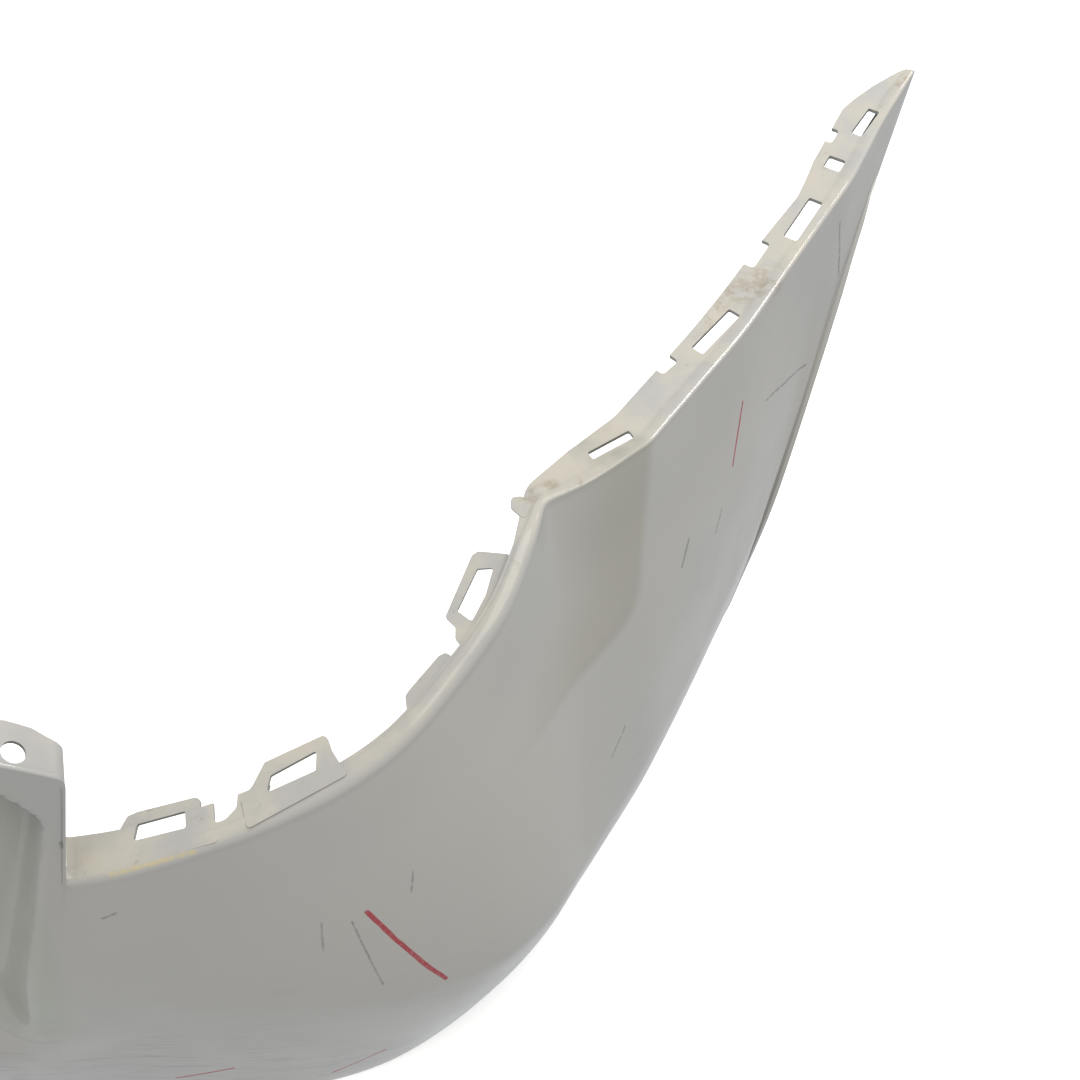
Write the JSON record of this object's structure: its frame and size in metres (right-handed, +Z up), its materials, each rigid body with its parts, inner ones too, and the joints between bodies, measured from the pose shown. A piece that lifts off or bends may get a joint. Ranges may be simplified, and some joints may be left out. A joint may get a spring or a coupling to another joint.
{
  "type": "bumper cover",
  "caption": "Painted rear bumper cover with number-plate recess, lamp cut-outs with windowed tabs, slotted side flanges, black insert, plate lamps and hinged tow-eye cover.",
  "frame": {"origin": "on the ground under the middle of the part, midway between its outermost face and its side tips", "axes": "+X to the right seen from outside, -Y outward from the car, +Z up as fitted"},
  "size_m": [1.724, 0.685, 0.481],
  "materials": {
    "paint": "off-white gloss paint over moulded plastic, scuffed and scratched",
    "grained_plastic": "fine-grained black moulding",
    "black_plastic": "plain black moulding",
    "white_plastic": "natural nylon",
    "steel": "zinc-plated spring steel",
    "clear_lens": "clear polycarbonate",
    "bulb": "clear glass with metal caps",
    "red_lens": "red reflector",
    "foam": "moulded bead foam",
    "cable": "taped lead"
  },
  "bodies": {
    "bumper": {"bumper_skin": "paint", "lower_valance": "grained_plastic", "tow_eye_pin": "steel", "tow_eye_frame": "black_plastic", "plate_lamp_housing_right": "black_plastic", "plate_lamp_housing_left": "black_plastic", "plate_lamp_lens_right": "clear_lens", "plate_lamp_lens_left": "clear_lens", "plate_lamp_bulb_right": "bulb", "plate_lamp_bulb_left": "bulb", "plate_screw_anchors": "white_plastic", "energy_absorber": "foam", "absorber_washers": "steel", "reflector_right": "red_lens", "reflector_left": "red_lens", "valance_rivet_bodies": "black_plastic", "valance_rivet_pins": "black_plastic", "lamp_harness": "cable", "harness_clips": "black_plastic", "harness_connector": "black_plastic", "arch_nuts": "steel", "undertray_nuts": "steel"},
    "tow_cover": {"tow_eye_cover": "paint"}
  },
  "joints": [
    {"name": "tow_cover_hinge", "type": "hinge", "parent": "bumper", "child": "tow_cover", "pos_m": [-0.46274, -0.29667, 0.21337], "axis": [-0.0278, -0.1609, -0.9866], "range_deg": [0, 80]}
  ]
}
